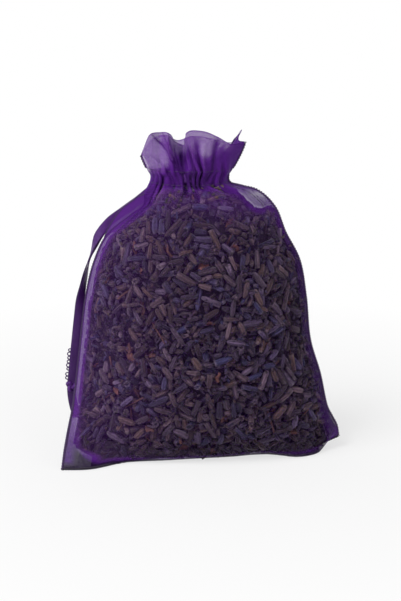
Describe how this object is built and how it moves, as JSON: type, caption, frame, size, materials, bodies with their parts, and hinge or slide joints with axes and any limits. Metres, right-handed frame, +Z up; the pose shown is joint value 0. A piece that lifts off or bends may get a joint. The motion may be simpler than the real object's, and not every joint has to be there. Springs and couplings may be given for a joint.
{
  "type": "lavender sachet",
  "caption": "Standing sachet of dried lavender buds in a sheer purple drawstring bag, gathered at the neck, with a ruffle above and a ribbon hanging at the left side.",
  "frame": {"origin": "point of the flattened underside under the middle of the bag, on the floor", "axes": "+Z up through the neck, +X towards the curled right corner, -Y out of the front"},
  "size_m": [0.0874, 0.042, 0.104],
  "materials": {
    "organza": "sheer woven organza with a soft sheen",
    "seam_thread": "matt overlock thread",
    "satin_ribbon": "satin ribbon, picot edge",
    "dried_lavender": "dry ribbed flower buds"
  },
  "bodies": {
    "bag": {"front_panel": "organza", "back_panel": "organza", "left_side_seam": "seam_thread", "left_ruffle_seam": "seam_thread", "right_side_seam": "seam_thread", "bottom_seam": "seam_thread", "front_upper_stitches": "seam_thread", "front_lower_stitches": "seam_thread", "back_upper_stitches": "seam_thread", "back_lower_stitches": "seam_thread", "lavender_buds": "dried_lavender", "drawstring_loop": "satin_ribbon"},
    "drawstring_mouth": {"front_strand_mouth": "satin_ribbon", "rear_strand_mouth": "satin_ribbon"},
    "drawstring": {"front_strand_upper": "satin_ribbon", "rear_strand_upper": "satin_ribbon"},
    "drawstring_end": {"front_strand_lower": "satin_ribbon", "rear_strand_lower": "satin_ribbon", "drawstring_knot": "satin_ribbon", "short_tail": "satin_ribbon", "long_tail": "satin_ribbon"}
  },
  "joints": [
    {"name": "drawstring_pull", "type": "slide", "parent": "bag", "child": "drawstring_mouth", "axis": [-0.8387, 0, -0.5446], "range_m": [0, 0.004]},
    {"name": "drawstring_swing", "type": "hinge", "parent": "drawstring_mouth", "child": "drawstring", "pos_m": [-0.0159, 0, 0.0834], "axis": [0, 1, 0], "range_deg": [0, 80]},
    {"name": "drawstring_fold", "type": "hinge", "parent": "drawstring", "child": "drawstring_end", "pos_m": [-0.03494, 0.0036, 0.06175], "axis": [0, 1, 0], "range_deg": [0, 75]}
  ]
}
